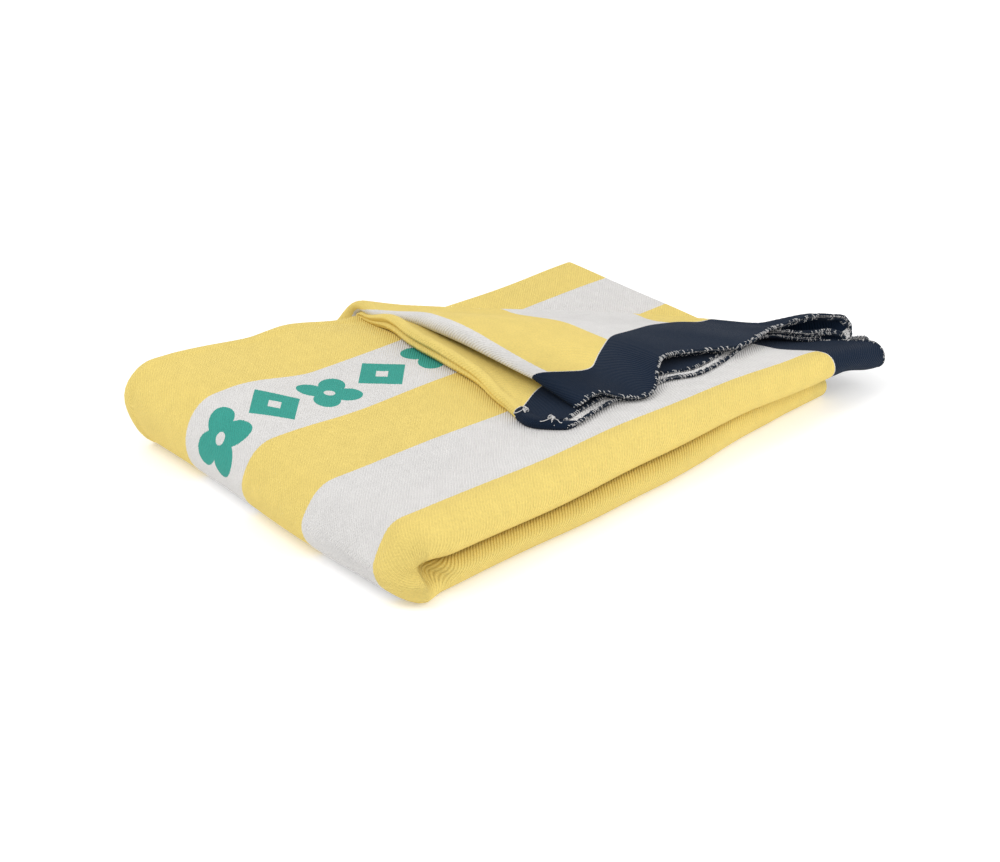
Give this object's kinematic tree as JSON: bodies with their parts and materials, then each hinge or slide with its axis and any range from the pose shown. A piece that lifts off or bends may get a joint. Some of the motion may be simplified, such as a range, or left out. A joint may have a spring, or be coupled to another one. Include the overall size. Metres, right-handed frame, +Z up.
{
  "type": "folded beach towel",
  "caption": "Striped cotton beach towel folded into a flat rectangular stack, with one corner turned back to show a dark woven end band and its overlocked edges.",
  "frame": {"origin": "centre of the bounding box's bottom face, on the surface the towel lies on", "axes": "+X along the folded length, from the book fold to the cloth's ends; +Y across the folded width, from the rounded near side to the far side; +Z up through the stack"},
  "size_m": [0.4916, 0.3042, 0.0744],
  "materials": {
    "striped_cloth": "matte",
    "woven_band": "matte",
    "overlock_thread": "matte"
  },
  "bodies": {
    "lower_half": {"book_bend_inside_leaf": "striped_cloth", "book_bend_outside_leaf": "striped_cloth", "end_fold_inner_third": "striped_cloth", "end_fold_middle_third": "striped_cloth", "end_fold_outer_third": "striped_cloth", "lower_inside_leaf": "striped_cloth", "lower_outside_leaf": "striped_cloth"},
    "upper_half": {"crease_band_0": "woven_band", "crease_band_1": "woven_band", "crease_band_2": "woven_band", "crease_band_3": "woven_band", "crease_band_4": "woven_band", "crease_band_5": "woven_band", "crease_bend_0": "striped_cloth", "crease_bend_1": "striped_cloth", "crease_bend_2": "striped_cloth", "crease_bend_3": "striped_cloth", "crease_bend_4": "striped_cloth", "crease_bend_5": "striped_cloth", "near_band_inside": "woven_band", "near_band_outside": "woven_band", "near_overlock_inside": "overlock_thread", "near_overlock_outside": "overlock_thread", "upper_inside_leaf": "striped_cloth", "upper_outside_leaf": "striped_cloth"},
    "turned_corner": {"corner_band_fold_inside": "woven_band", "corner_band_fold_outside": "woven_band", "corner_band_lap_inside": "woven_band", "corner_band_lap_outside": "woven_band", "corner_fold_inside": "striped_cloth", "corner_fold_outside": "striped_cloth", "corner_lap_inside": "striped_cloth", "corner_lap_outside": "striped_cloth", "corner_overlock_fold_inside": "overlock_thread", "corner_overlock_fold_outside": "overlock_thread", "corner_overlock_lap_inside": "overlock_thread", "corner_overlock_lap_outside": "overlock_thread"}
  },
  "joints": [
    {"name": "book_fold", "type": "hinge", "parent": "lower_half", "child": "upper_half", "pos_m": [-0.22118, 0, 0.02462], "axis": [0, -1, 0], "range_deg": [0, 170], "deforming": ["book_bend_inside_leaf", "book_bend_outside_leaf"]},
    {"name": "corner_fold", "type": "hinge", "parent": "upper_half", "child": "turned_corner", "pos_m": [0.0138, 0.095, 0.038], "axis": [-0.7071, 0.7071, 0], "range_deg": [0, 135], "deforming": ["crease_band_0", "crease_band_1", "crease_band_2", "crease_band_3", "crease_band_4", "crease_band_5", "crease_bend_0", "crease_bend_1", "crease_bend_2", "crease_bend_3", "crease_bend_4", "crease_bend_5"]}
  ]
}
